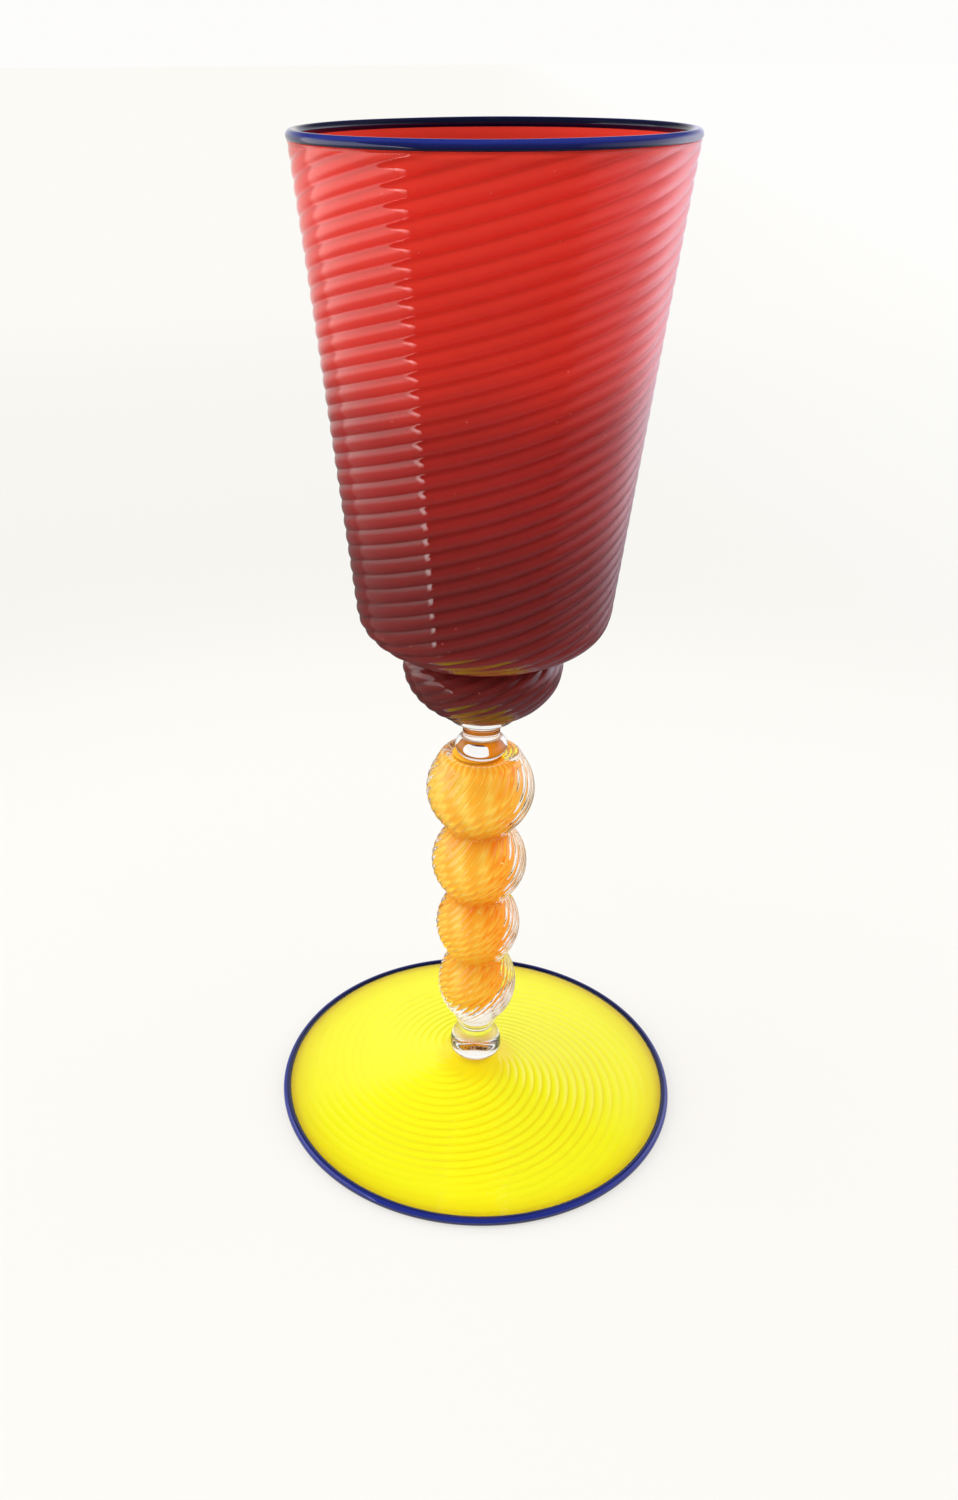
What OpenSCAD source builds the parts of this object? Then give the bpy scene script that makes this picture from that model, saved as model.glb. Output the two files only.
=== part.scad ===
// Stemmed water goblet of blown and hot-joined glass, in millimetres.
// Z is up, and the origin is the centre of the ring that the foot stands on.
// Every piece is a bit of glass that was made by itself and then joined:
// cased bubbles for bowl, stem and foot, clear spools between them, and a
// thread laid round the mouth and round the foot.

/* [Foot] */
// Diameter of the foot over the thread round its edge
foot_d = 105.8; // [90:0.2:120]
// Height of the middle of the foot, where the lower spool stands
foot_rise = 10.4; // [6:0.1:13]
// Thickness of the coloured layer of the foot
foot_color_t = 0.8; // [0.5:0.05:1.2]
// Thickness of the clear layer of the foot
foot_clear_t = 0.7; // [0.5:0.05:1.2]
// Diameter of the thread round the foot
foot_wrap_d = 2.4; // [2.2:0.05:3]
// Width of the flat that the thread stands on
foot_rest_w = 0.96; // [0.5:0.02:1.4]

/* [Lower spool] */
// Height of the lower spool
low_spool_h = 12; // [10:0.1:16]
// Diameter of the ball of the lower spool
low_ball_d = 13.4; // [10:0.1:16]
// Height of the ball if it were whole
low_ball_h = 10.8; // [8:0.1:13]
// Height of the ball's widest place above the foot
low_ball_z = 3.2; // [2:0.1:4]
// Narrowest diameter of the lower spool
low_neck_d = 8.8; // [7:0.1:9.6]
// Diameter of the flare under the stem
low_flare_d = 10; // [9.7:0.1:12]
// Height of that flare
low_flare_h = 2.6; // [1.5:0.1:4]

/* [Stem] */
// Height of the stem from spool to spool
stem_h = 80.6; // [76:0.2:90]
// Diameter of the lowest bead
bead_4_d = 20.4; // [17:0.1:24]
// Diameter of the third bead
bead_3_d = 21.3; // [18:0.1:25]
// Diameter of the second bead
bead_2_d = 23.7; // [20:0.1:27]
// Diameter of the top bead
bead_1_d = 26.3; // [22:0.1:30]
// Height of the lowest bead if it were a whole ball
bead_4_h = 24; // [20:0.1:26]
// Height of the third bead if it were a whole ball
bead_3_h = 22.4; // [20:0.1:26]
// Height of the second bead if it were a whole ball
bead_2_h = 22.4; // [20:0.1:26]
// Height of the top bead if it were a whole ball
bead_1_h = 24; // [20:0.1:26]
// Step from the lowest bead to the third
bead_4_step = 18.8; // [17:0.1:20]
// Step from the third bead to the second
bead_3_step = 19.3; // [17:0.1:21]
// Step from the second bead to the top one
bead_2_step = 20.7; // [18:0.1:22]
// Height of the lowest bead's middle above the lower spool
bead_4_z = 12; // [11:0.1:13]
// Diameter of the necks that the jacks squeezed between the beads
stem_neck_d = 14.4; // [12:0.1:17]
// Diameter of the collar on top of the stem
collar_d = 18.2; // [14:0.1:20]
// Diameter of the stem's lower end
stem_foot_d = 9.8; // [8:0.1:12]
// Number of ribs round the stem
stem_ribs = 28; // [20:1:32]
// Depth of the grooves between the ribs
stem_rib_depth = 0.35; // [0.2:0.05:0.6]
// Height in which the ribs turn once round the stem
stem_rib_pitch = 76; // [60:1:110]
// Clear height under the coloured core
core_tip_gap = 5.4; // [4:0.1:8]
// Diameter of the blowing hole where it is narrowest
core_bore_d = 3; // [2:0.1:4]

/* [Upper spool] */
// Height of the upper spool
up_spool_h = 11.3; // [9:0.1:13]
// Diameter of the ring of the upper spool
up_ring_d = 12.4; // [11:0.1:14]
// Height of the ring if it were whole
up_ring_h = 6.4; // [4:0.1:8]
// Height of the ring's widest place above the collar
up_ring_z = 2.2; // [1.5:0.1:3]
// Narrowest diameter of the upper spool
up_neck_d = 9; // [8:0.1:10]
// Diameter of the disc under the bulb, and of the flat that it joins
up_disc_d = 16.4; // [13:0.1:20]
// Depth of that disc
up_disc_h = 2.1; // [1.8:0.1:4]

/* [Bulb of the bowl] */
// Diameter of the bulb under the cup
bulb_d = 37.5; // [34:0.1:42]
// Depth of the bulb below its widest place
bulb_low_h = 14.3; // [12:0.1:17]
// Height from the bulb's widest place to the groove above it
bulb_top_h = 4; // [3:0.1:5]
// Diameter at the bottom of the groove between bulb and cup
groove_d = 29.5; // [27:0.1:32]

/* [Cup of the bowl] */
// Diameter of the cup where its straight wall begins
cup_low_d = 58.2; // [54:0.1:64]
// Height of the shoulder from the groove to the straight wall
shoulder_h = 10.6; // [9:0.1:12]
// Diameter of the cup at the lip
mouth_d = 80; // [74:0.1:86]
// Height of the straight wall
wall_h = 96.3; // [80:0.1:110]
// Thickness of the coloured layer
bowl_color_t = 1; // [0.8:0.05:1.2]
// Thickness of the clear layer on the wall
bowl_clear_t = 0.9; // [0.7:0.05:1.2]
// Diameter of the thread round the mouth
lip_wrap_d = 2.4; // [2.2:0.05:2.8]
// Width of that thread's seat on the lip
lip_seat_w = 1.6; // [1.2:0.05:1.7]

/* [Hidden] */
$fn = 96;

// Overrun of every cut
over = 1;

// Heights where one piece stands on the next, from the foot up
z_stem = foot_rise + low_spool_h;
z_collar = z_stem + stem_h;
z_bulb_seat = z_collar + up_spool_h;

// Sharpness with which a swelling runs into its neck
blend_power_share = 6;

// One radius that follows the larger of several, with a smooth change between them
function blend(radii) =
    pow([for (r = radii) pow(r, blend_power_share)] * [for (r = radii) 1],
        1 / blend_power_share);

// Radius of a swelling at height z, or zero beyond its ends. A fullness of two is a ball, and
// more than two is a barrel
function ball_r(z, mid, r, half_h, full_share = 2) =
    let (s = abs(z - mid) / half_h)
    s < 1 ? r * pow(1 - pow(s, full_share), 1 / full_share) : 0;

// Points of an outline moved towards the axis and the inside by a thickness
function inward(line, t) = [for (i = [0 : len(line) - 1])
    let (d = line[min(i + 1, len(line) - 1)] - line[max(i - 1, 0)])
    line[i] + t * [-d[1], d[0]] / norm(d)];

// Points between two ends of a curve that is drawn towards a third point
function curve(a, pull, b, steps) = [for (i = [1 : steps - 1])
    let (s = i / steps)
    (1 - s) * (1 - s) * a + 2 * s * (1 - s) * pull + s * s * b];

function reversed(line) = [for (i = [len(line) - 1 : -1 : 0]) line[i]];

// Spools: a solid of glass with a swelling, a neck, and a flare or a disc on top

spool_steps = 30;

// Fullness of the lower spool's ball and of the upper one's disc
low_ball_full_share = 3;
up_disc_full_share = 4;

function low_spool_r(z) = blend([low_neck_d / 2,
    ball_r(z, low_ball_z, low_ball_d / 2, low_ball_h / 2, low_ball_full_share),
    ball_r(z, low_spool_h, low_flare_d / 2, low_flare_h)]);

function up_spool_r(z) = blend([up_neck_d / 2,
    ball_r(z, up_ring_z, up_ring_d / 2, up_ring_h / 2),
    ball_r(z, up_spool_h, up_disc_d / 2, up_disc_h, up_disc_full_share)]);

// A spool of height h from its radii at even steps
module spool(h, radii) {
    last = len(radii) - 1;
    rotate_extrude()
        polygon(concat(
            [[0, 0]],
            [for (i = [0 : last]) [radii[i], h * i / last]],
            [[0, h]]));
}

module lower_avolio() {
    color([0.9, 0.95, 0.95, 0.4])
        translate([0, 0, foot_rise])
            spool(low_spool_h,
                [for (i = [0 : spool_steps]) low_spool_r(low_spool_h * i / spool_steps)]);
}

module upper_avolio() {
    color([0.9, 0.95, 0.95, 0.4])
        translate([0, 0, z_collar])
            spool(up_spool_h,
                [for (i = [0 : spool_steps]) up_spool_r(up_spool_h * i / spool_steps)]);
}

// Foot: a shallow bell, steeper towards the middle

foot_wrap_r = foot_wrap_d / 2;
foot_wrap_mid_r = foot_d / 2 - foot_wrap_r;
foot_wrap_mid_z = sqrt(pow(foot_wrap_r, 2) - pow(foot_rest_w / 2, 2));
foot_t = foot_color_t + foot_clear_t;

// The thread is flattened where it meets the edge of the foot, over the foot's thickness
foot_edge_grip_share = 1.08;
foot_edge_h = foot_t * foot_edge_grip_share;
foot_edge_r = foot_wrap_mid_r - sqrt(pow(foot_wrap_r, 2) - pow(foot_edge_h / 2, 2));
foot_top_edge_z = foot_wrap_mid_z + foot_t / 2;

// Flat in the middle of the foot, as wide as the spool that stands on it
low_seat_r = low_spool_r(0);
foot_bell_power_share = 2.2;
foot_steps = 20;

// Top of the foot at radius r, less the depth of a layer
function foot_z(r, depth) =
    let (s = 1 - (r - low_seat_r) / (foot_edge_r - low_seat_r))
    foot_top_edge_z - depth
        + (foot_rise - foot_top_edge_z) * pow(s, foot_bell_power_share);

function foot_line(depth) = concat(
    [[0, foot_z(low_seat_r, depth)]],
    [for (i = [0 : foot_steps])
        let (r = low_seat_r + (foot_edge_r - low_seat_r) * i / foot_steps)
        [r, foot_z(r, depth)]]);

module foot_layer(upper, lower) {
    rotate_extrude()
        polygon(concat(foot_line(upper), reversed(foot_line(lower))));
}

module foot_color() {
    color([1, 0.96, 0.05])
        foot_layer(foot_clear_t, foot_t);
}

module foot_clear() {
    color([0.93, 0.97, 0.9, 0.4])
        foot_layer(0, foot_clear_t);
}

module foot_lip_wrap() {
    color([0.07, 0.09, 0.5])
        difference() {
            translate([0, 0, foot_wrap_mid_z])
                rotate_extrude()
                    translate([foot_wrap_mid_r, 0])
                        circle(r = foot_wrap_r, $fn = 32);
            translate([0, 0, -foot_wrap_d])
                cylinder(h = foot_wrap_d, r = foot_d);
            translate([0, 0, -over])
                cylinder(h = foot_wrap_d + 2 * over, r = foot_edge_r);
        }
}

// Stem: four beads that swell and shrink smoothly, with a collar on top

bead_mids = [bead_4_z,
    bead_4_z + bead_4_step,
    bead_4_z + bead_4_step + bead_3_step,
    bead_4_z + bead_4_step + bead_3_step + bead_2_step];
bead_ds = [bead_4_d, bead_3_d, bead_2_d, bead_1_d];
bead_hs = [bead_4_h, bead_3_h, bead_2_h, bead_1_h];

// The necks grow a little from the lowest to the highest
low_neck_share = 0.92;
top_neck_share = 1.09;
neck_rs = [
    [0, stem_foot_d / 2],
    [(bead_mids[0] + bead_mids[1]) / 2, stem_neck_d / 2 * low_neck_share],
    [(bead_mids[2] + bead_mids[3]) / 2, stem_neck_d / 2 * top_neck_share],
    [stem_h, collar_d / 2]];

// Radius over the ribs at height z above the stem's lower end
function stem_r(z) = blend(concat(
    [lookup(z, neck_rs)],
    [for (i = [0 : len(bead_mids) - 1])
        ball_r(z, bead_mids[i], bead_ds[i] / 2, bead_hs[i] / 2)]));

// The ribs turn faster towards the foot: share of the mean rate at each end
rib_rate_low_share = 1.3;
rib_rate_top_share = 0.7;
function stem_turn(z) = 360 / stem_rib_pitch
    * (rib_rate_low_share * z
        - (rib_rate_low_share - rib_rate_top_share) * z * z / (2 * stem_h));

// A rib is round on top, and meets its neighbours in a narrow groove
rib_profile_shares = [0, 0.3, 1, 0.3];

// The ribs fade out at both ends of the stem
rib_fade_h = stem_foot_d / 2;
function rib_fade(z) = min(1, z / rib_fade_h, (stem_h - z) / rib_fade_h);

// Bevel on the rim of the collar
collar_bevel = stem_rib_depth;
stem_rings = 44;
stem_levels = concat(
    [for (i = [0 : stem_rings]) (stem_h - collar_bevel) * i / stem_rings],
    [stem_h]);

function stem_ring(z) = [for (rib = [0 : stem_ribs - 1], k = [0 : len(rib_profile_shares) - 1])
    let (a = 360 / stem_ribs * (rib + k / len(rib_profile_shares)) + stem_turn(z),
        r = stem_r(z) - stem_rib_depth * rib_fade(z) * rib_profile_shares[k]
            - (z == stem_h ? collar_bevel : 0))
    [r * cos(a), r * sin(a), z]];

// A closed skin through rings of equal length, one above the other
module skin(rings) {
    n = len(rings[0]);
    last = len(rings) - 1;
    polyhedron(
        points = [for (ring = rings) each ring],
        faces = concat(
            [[for (i = [0 : n - 1]) i]],
            [for (j = [0 : last - 1], i = [0 : n - 1])
                [j * n + i, (j + 1) * n + i, (j + 1) * n + (i + 1) % n]],
            [for (j = [0 : last - 1], i = [0 : n - 1])
                [j * n + i, (j + 1) * n + (i + 1) % n, j * n + (i + 1) % n]],
            [[for (i = [n - 1 : -1 : 0]) last * n + i]]));
}

// Core: follows the beads at a share of their size, and ends in a round tip
core_share = 0.62;
core_steps = 60;
core_tip_h = bead_4_z - core_tip_gap;
bore_tip_gap = core_tip_gap + core_tip_h / 2;

// Radius of the core or of its hole at height z, closed at its tip
function core_r(z, share, tip_gap, tip_h) =
    share * stem_r(z) * sqrt(1 - pow(max(0, 1 - (z - tip_gap) / tip_h), 2));

function core_line(share, tip_gap, tip_h) = [for (i = [0 : core_steps])
    let (z = tip_gap + (stem_h - tip_gap) * i / core_steps)
    [core_r(z, share, tip_gap, tip_h), z]];

bore_share = core_bore_d / stem_neck_d;

module stem_core() {
    color([1, 0.55, 0.08])
        translate([0, 0, z_stem])
            rotate_extrude()
                polygon(concat(
                    core_line(core_share, core_tip_gap, core_tip_h),
                    reversed(core_line(bore_share, bore_tip_gap, core_tip_h))));
}

module stem_casing() {
    color([0.95, 0.93, 0.86, 0.4])
        translate([0, 0, z_stem])
            difference() {
                skin([for (z = stem_levels) stem_ring(z)]);
                rotate_extrude()
                    polygon(concat(
                        core_line(core_share, core_tip_gap, core_tip_h),
                        [[core_share * stem_r(stem_h), stem_h + over], [0, stem_h + over]]));
            }
}

// Bowl: bulb, groove, round shoulder and straight tapered wall

bulb_r = bulb_d / 2;
groove_r = groove_d / 2;
cup_low_r = cup_low_d / 2;
mouth_r = mouth_d / 2;

// The bulb's bottom is flattened where the disc of the upper spool joins it
bulb_seat_angle = -acos(up_disc_d / bulb_d);
z_bulb = z_bulb_seat - bulb_low_h * sin(bulb_seat_angle);
z_groove = z_bulb + bulb_top_h;
z_wall = z_groove + shoulder_h;
z_lip = z_wall + wall_h;
taper_share = (mouth_r - cup_low_r) / wall_h;

// Fullness of the shoulder: two would make it part of a plain ellipse
shoulder_power_share = 2.5;
shoulder_steps = 14;
bulb_steps = 14;
groove_steps = 5;

// The groove's sides begin at these angles of the bulb and of the shoulder
groove_low_angle = 30;
groove_top_angle = 47;
bulb_top_ellipse_share = 1.8;

function bulb_point(a) = [bulb_r * cos(a),
    z_bulb + (a < 0 ? bulb_low_h : bulb_top_h * bulb_top_ellipse_share) * sin(a)];

// Depth that the shoulder's curve would reach on the axis, past the groove
shoulder_reach_share = 1.13;
shoulder_full_h = shoulder_h * shoulder_reach_share;

function shoulder_point(a) =
    let (drop = shoulder_full_h * pow(sin(a), 2 / shoulder_power_share))
    [cup_low_r * pow(cos(a), 2 / shoulder_power_share) - taper_share * drop, z_wall - drop];

bowl_line = concat(
    [[0, z_bulb_seat]],
    [for (i = [0 : bulb_steps])
        bulb_point(bulb_seat_angle + (groove_low_angle - bulb_seat_angle) * i / bulb_steps)],
    curve(bulb_point(groove_low_angle), [groove_r, z_groove],
        shoulder_point(groove_top_angle), groove_steps),
    [for (i = [0 : shoulder_steps])
        shoulder_point(groove_top_angle * (1 - i / shoulder_steps))],
    [[mouth_r, z_lip]]);

// The same line one thickness further in, from the axis to the lip
function bowl_inner(t) =
    let (line = inward(bowl_line, t), last = len(line) - 1)
    concat(
        [[0, line[0][1]]],
        [for (i = [1 : last - 1]) line[i]],
        [[mouth_r - t * sqrt(1 + taper_share * taper_share), z_lip]]);

module bowl_shell(outer, inner) {
    rotate_extrude()
        polygon(concat(outer, reversed(inner)));
}

module bowl_color() {
    color([0.82, 0.1, 0.08])
        bowl_shell(bowl_inner(bowl_clear_t), bowl_inner(bowl_clear_t + bowl_color_t));
}

module bowl_casing() {
    color([0.95, 0.6, 0.6, 0.4])
        bowl_shell(bowl_line, bowl_inner(bowl_clear_t));
}

// Thread round the mouth: its middle stands above the lip by this much
lip_wrap_r = lip_wrap_d / 2;
lip_wrap_rise = sqrt(pow(lip_wrap_r, 2) - pow(lip_seat_w / 2, 2));
lip_mid_r = mouth_r - (bowl_clear_t + bowl_color_t) / 2;

module bowl_lip_wrap() {
    color([0.07, 0.09, 0.5])
        difference() {
            translate([0, 0, z_lip + lip_wrap_rise])
                rotate_extrude()
                    translate([lip_mid_r, 0])
                        circle(r = lip_wrap_r, $fn = 32);
            translate([0, 0, z_lip - lip_wrap_d])
                cylinder(h = lip_wrap_d, r = mouth_d);
        }
}

foot_color();
foot_clear();
foot_lip_wrap();
lower_avolio();
stem_core();
stem_casing();
upper_avolio();
bowl_color();
bowl_casing();
bowl_lip_wrap();
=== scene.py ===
"""Looks of the water goblet: cased glass with twisted ribs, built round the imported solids.

Lengths are in metres. Every outline is read from the solids of the frame, so that each visible piece lies
where its solid lies. The ribs, the fused joints and the finishes are added here.
"""

import math

import bmesh
import bpy
import numpy as np
from mathutils import Matrix, Vector

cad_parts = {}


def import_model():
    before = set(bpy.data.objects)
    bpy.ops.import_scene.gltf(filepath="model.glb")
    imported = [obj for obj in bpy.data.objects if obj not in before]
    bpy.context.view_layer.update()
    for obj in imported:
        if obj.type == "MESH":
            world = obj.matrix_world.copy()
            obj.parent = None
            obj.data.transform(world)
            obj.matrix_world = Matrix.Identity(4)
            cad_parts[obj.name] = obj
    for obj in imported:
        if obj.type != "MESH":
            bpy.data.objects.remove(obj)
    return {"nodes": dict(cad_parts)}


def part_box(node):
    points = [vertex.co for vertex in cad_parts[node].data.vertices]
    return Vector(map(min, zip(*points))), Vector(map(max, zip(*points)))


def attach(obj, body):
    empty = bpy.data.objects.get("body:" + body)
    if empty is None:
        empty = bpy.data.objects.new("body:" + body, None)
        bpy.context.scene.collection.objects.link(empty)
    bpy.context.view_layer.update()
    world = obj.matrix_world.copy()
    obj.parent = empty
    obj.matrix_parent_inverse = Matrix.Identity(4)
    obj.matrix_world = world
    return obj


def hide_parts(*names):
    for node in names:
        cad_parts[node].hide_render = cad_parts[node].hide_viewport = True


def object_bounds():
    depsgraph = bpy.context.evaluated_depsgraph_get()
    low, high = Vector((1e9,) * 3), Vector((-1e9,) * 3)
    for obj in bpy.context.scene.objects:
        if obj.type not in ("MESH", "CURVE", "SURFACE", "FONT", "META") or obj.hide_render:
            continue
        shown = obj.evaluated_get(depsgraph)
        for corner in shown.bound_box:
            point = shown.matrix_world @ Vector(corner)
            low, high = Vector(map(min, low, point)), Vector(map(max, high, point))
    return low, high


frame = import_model()
cad_low, cad_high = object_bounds()
BODY = "root"
MM = 0.001
HEIGHT = cad_high.z - cad_low.z

# How far a piece reaches into the clear glass that it is fused to
FUSE = 0.1 * MM

# Optic ribs: number round the piece, depth of the groove between two, and turn in degrees for each millimetre
# of outline
BOWL_RIBS, BOWL_RIB_DEPTH, BOWL_TURN = 18, 0.3 * MM, 5.9
FOOT_RIBS, FOOT_RIB_DEPTH, FOOT_TURN = 18, 0.12 * MM, -8.2
STEM_RIBS, STEM_RIB_DEPTH = 28, 0.25 * MM
STEM_TURN_LOW, STEM_TURN_TOP = 6.2, 3.3

# The bowl's first groove starts this far round, in degrees
BOWL_PHASE = 10
# The bulb's ribs are this share as deep as the cup's. They deepen between these heights above its foot.
BULB_RIB_SHARE, BULB_RIBS_TO, CUP_RIBS_FROM = 0.75, 12 * MM, 26 * MM

# Depth of the same grooves in the coloured layer under the clear one
RED_RELIEF, YELLOW_RELIEF, ORANGE_RELIEF = 0.07 * MM, 0.1 * MM, 0.22 * MM

# Vertices across one rib. They lie closer together in the groove, by this share of their gaps.
RIB_STEPS, RIB_CROWDING = 12, 0.55
# How rounded the bottom of a groove is. At 0 it is a sharp V.
GROOVE_SOFTNESS = 0.13

# Lengths over which ribs fade in and out, from the low end of an outline to its high end
BOWL_FADES, STEM_FADES, CORE_FADES = (5 * MM, 1.2 * MM), (4 * MM, 3 * MM), (3 * MM, 3 * MM)
# Radius at which the ribs of the foot begin, and lengths over which they fade in and out
FOOT_RIBS_FROM, FOOT_FADES = 6 * MM, (5 * MM, 16 * MM)

# Least gap between two points that are taken from a solid's outline
OUTLINE_GAP, STEM_GAP, THREAD_GAP = 0.3 * MM, 0.5 * MM, 0.08 * MM
# Steps along the smooth outlines
ROW_STEP, RED_STEP, INSIDE_STEP = 0.55 * MM, 1.0 * MM, 1.5 * MM
STEM_STEP, CORE_STEP, SPOOL_STEP = 0.47 * MM, 0.8 * MM, 0.35 * MM
LONGEST_STRAIGHT = 2.5 * MM
# Points on each stretch of a smooth curve, and places looked at for each point of an outline that another is
# compared with
CURVE_STEPS, NEAREST_STEPS = 8, 40
# Columns round a piece without ribs
SPOOL_COLUMNS, THREAD_COLUMNS, FLOOR_COLUMNS = 128, 256, 64

# How far a face looks outward or up, from -1 to 1, to count as a side, as the top or as the bottom
SIDE, SLIGHT_SIDE, TOP, BOTTOM = 0.2, 0.02, 0.3, -0.9
# Lengths and slopes too small to be told from none
ON_AXIS, ONE_POINT, TINY = 1e-6, 1e-7, 1e-9

# The coloured core of the stem was blown off the middle, to the left
CORE_SHIFT = Vector((-0.9 * MM, 0, 0))
# The hole in it, as a share of its width, and the glass that is left under it
CORE_HOLE, CORE_FLOOR = 0.36, 4 * MM

# Rounded underside of the lower spool's ball: its height, and the radius on which the ball stands
UNDERSIDE_H, UNDERSIDE_R = 3.0 * MM, 2.2 * MM
# Film of air under a spool, which throws back the light that comes down through it, as in the photograph
AIR_FILM = 0.03 * MM
# Radius within which the upper spool is sunk into the orange, which shows there
UPPER_SEAT_R = 4.0 * MM
# Height over which the bulb's skin turns rougher towards its bottom, and how rough it is there. A smooth skin
# mirrors the yellow foot with a harder edge than the photograph shows.
DULL_TOP, DULL_ROUGHNESS = 14 * MM, 0.2


# Outlines

def cad_line(node, looks, order):
    """Points (radius, height) of a turned solid, from its faces whose normal (radial, upward) passes looks.

    order is 0 to sort them from the axis out, 1 from the bottom up.
    """
    mesh = frame["nodes"][node].data
    found = set()
    for face in mesh.polygons:
        centre, normal = face.center, face.normal
        radius = math.hypot(centre.x, centre.y)
        radial = (centre.x * normal.x + centre.y * normal.y) / max(radius, TINY)
        if looks(radial, normal.z):
            for i in face.vertices:
                co = mesh.vertices[i].co
                found.add((round(math.hypot(co.x, co.y), 6), round(co.z, 6)))
    return np.array(sorted(found, key=lambda p: (p[order], p[1 - order])))


def crest_line(node):
    """Largest radius of a solid at each level of its outside, from the bottom up."""
    levels = {}
    for r, z in cad_line(node, lambda radial, up: radial > SIDE, 1):
        levels[z] = max(levels.get(z, 0), r)
    return np.array([(r, z) for z, r in sorted(levels.items())])


def thinned(line, gap):
    """The line without points closer than gap to the last one kept. Both ends stay."""
    kept = [line[0]]
    for point in line[1:-1]:
        if np.linalg.norm(point - kept[-1]) >= gap and np.linalg.norm(line[-1] - point) >= gap:
            kept.append(point)
    kept.append(line[-1])
    return np.array(kept)


def from_axis(line):
    """The line with a first point on the axis, where its solid has a hole or a flat."""
    first = line[0]
    return line if first[0] < ON_AXIS else np.vstack([[0, first[1]], line])


def subdivided(line, longest):
    """The line with its long straight stretches cut into shorter ones."""
    points = [line[0]]
    for a, b in zip(line[:-1], line[1:]):
        n = max(1, math.ceil(np.linalg.norm(b - a) / longest))
        points += [a + (b - a) * k / n for k in range(1, n + 1)]
    return np.array(points)


def arc_lengths(line):
    return np.concatenate([[0], np.cumsum(np.linalg.norm(np.diff(line, axis=0), axis=1))])


def smooth_line(line, step):
    """Points at even steps along a smooth curve (Catmull-Rom) through the line's points."""
    p = subdivided(line, LONGEST_STRAIGHT)
    p = np.vstack([2 * p[0] - p[1], p, 2 * p[-1] - p[-2]])
    t = arc_lengths(p)
    fine = []
    for i in range(1, len(p) - 2):
        t0, t1, t2, t3 = t[i - 1:i + 3]
        for s in np.linspace(t1, t2, CURVE_STEPS, endpoint=False):
            a1 = ((t1 - s) * p[i - 1] + (s - t0) * p[i]) / (t1 - t0)
            a2 = ((t2 - s) * p[i] + (s - t1) * p[i + 1]) / (t2 - t1)
            a3 = ((t3 - s) * p[i + 1] + (s - t2) * p[i + 2]) / (t3 - t2)
            b1 = ((t2 - s) * a1 + (s - t0) * a2) / (t2 - t0)
            b2 = ((t3 - s) * a2 + (s - t1) * a3) / (t3 - t1)
            fine.append(((t2 - s) * b1 + (s - t1) * b2) / (t2 - t1))
    fine.append(p[-2])
    fine = np.array(fine)
    length = arc_lengths(fine)
    n = max(2, round(length[-1] / step))
    at = np.linspace(0, length[-1], n + 1)
    return np.column_stack([np.interp(at, length, fine[:, 0]), np.interp(at, length, fine[:, 1])])


def normals(line):
    """Unit normals (radial, upward) on the right-hand side of the line's direction."""
    d = np.gradient(line, axis=0)
    d /= np.linalg.norm(d, axis=1)[:, None]
    return np.column_stack([d[:, 1], -d[:, 0]])


def moved(line, distance):
    """The line moved along its normals. Points on the axis stay on it."""
    out = line + normals(line) * distance
    out[:, 0] = np.where(line[:, 0] < ON_AXIS, 0, np.maximum(out[:, 0], 0))
    return out


def beside(line, ribbed, values):
    """Values of a ribbed outline at the point of it that is nearest to each point of line."""
    count = np.arange(len(ribbed))
    at = np.linspace(0, len(ribbed) - 1, NEAREST_STEPS * len(ribbed))
    fine = np.column_stack([np.interp(at, count, ribbed[:, k]) for k in (0, 1)])
    nearest = [np.argmin(np.linalg.norm(fine - point, axis=1)) for point in line]
    return np.interp(at[nearest], count, values)


def row_at(line, radius):
    """Moves the point of line that is nearest to a radius onto it, and returns its index."""
    k = int(np.argmin(np.abs(line[:, 0] - radius)))
    line[k, 0] = radius
    return k


def fade(lengths, start, end, from_length=0):
    """0 up to from_length and at the end of a line, and 1 between, rising and falling over start and end."""
    rise = np.clip((lengths - from_length) / start, 0, 1)
    fall = np.clip((lengths[-1] - lengths) / end, 0, 1)
    share = np.minimum(rise, fall)
    return share * share * (3 - 2 * share)


# Meshes

def round_angles(columns):
    return np.linspace(0, 2 * math.pi, columns, endpoint=False)


def rib_shares():
    """Places of the columns across one rib, from the middle of one groove to the next."""
    share = np.arange(RIB_STEPS) / RIB_STEPS
    return share - RIB_CROWDING * np.sin(2 * math.pi * share) / (2 * math.pi)


def rib_angles(ribs):
    """Angles of the columns round a ribbed piece, and how deep in the groove each lies, from 0 to 1."""
    share = rib_shares()
    crest = np.abs(np.sin(math.pi * share))
    soft = GROOVE_SOFTNESS
    depth = 1 - (np.sqrt(crest ** 2 + soft ** 2) - soft) / (math.sqrt(1 + soft ** 2) - soft)
    angles = np.concatenate([(k + share) * 2 * math.pi / ribs for k in range(ribs)])
    return angles, np.tile(depth, ribs)


def rows_of(line, angles, turns=None, depths=None, fades=None, centre=(0, 0)):
    """Rings of points: the line turned round the axis, twisted by turns, grooved by depths times fades."""
    n = normals(line)
    rows = []
    for i, (r, z) in enumerate(line):
        a = angles + (0 if turns is None else turns[i])
        sink = np.zeros(len(angles)) if depths is None else depths * fades[i]
        ring_r = np.maximum(r - sink * n[i, 0], 0)
        ring_z = z - sink * n[i, 1]
        rows.append(np.column_stack([centre[0] + ring_r * np.cos(a), centre[1] + ring_r * np.sin(a), ring_z]))
    return rows


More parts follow.
